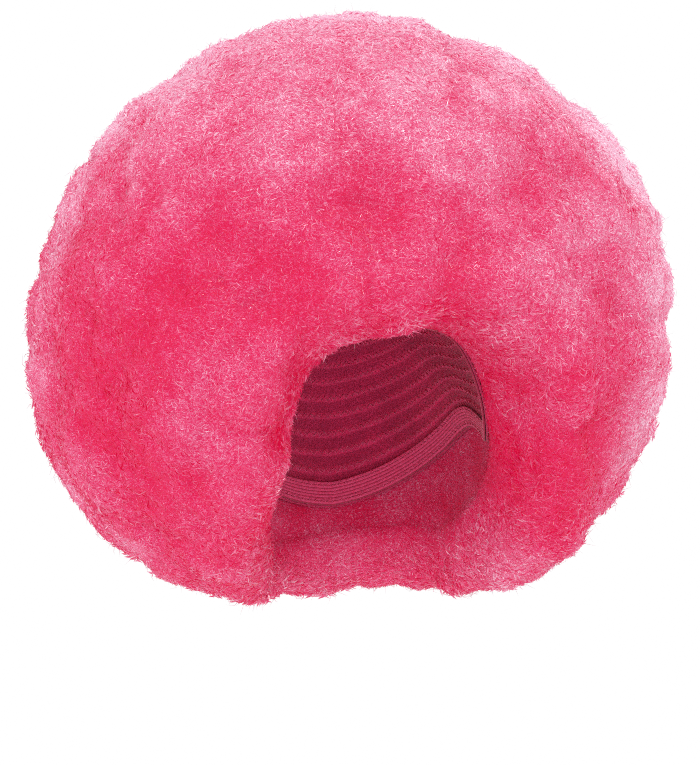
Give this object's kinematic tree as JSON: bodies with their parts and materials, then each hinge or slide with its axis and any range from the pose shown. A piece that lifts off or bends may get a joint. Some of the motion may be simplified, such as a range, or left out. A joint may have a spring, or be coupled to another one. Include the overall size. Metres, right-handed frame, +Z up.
{
  "type": "afro wig",
  "caption": "Oversize round afro wig: a ball of crimped synthetic hair round a stretch cap with an elastic edge band, open over the face and neck.",
  "frame": {"origin": "the point inside the cap's crown that rests on top of the wearer's head", "axes": "+Z up, -Y the way the face looks, +X the wearer's left"},
  "size_m": [0.4112, 0.3721, 0.375],
  "materials": {
    "hair": "frizzy crimped synthetic fibre, matt, with pale translucent tips",
    "cap": "matt stretch knit with rows of stitched wefts",
    "band": "ribbed woven elastic"
  },
  "bodies": {
    "root": {"hair": "hair", "cap": "cap", "edge_band": "band"}
  },
  "joints": []
}
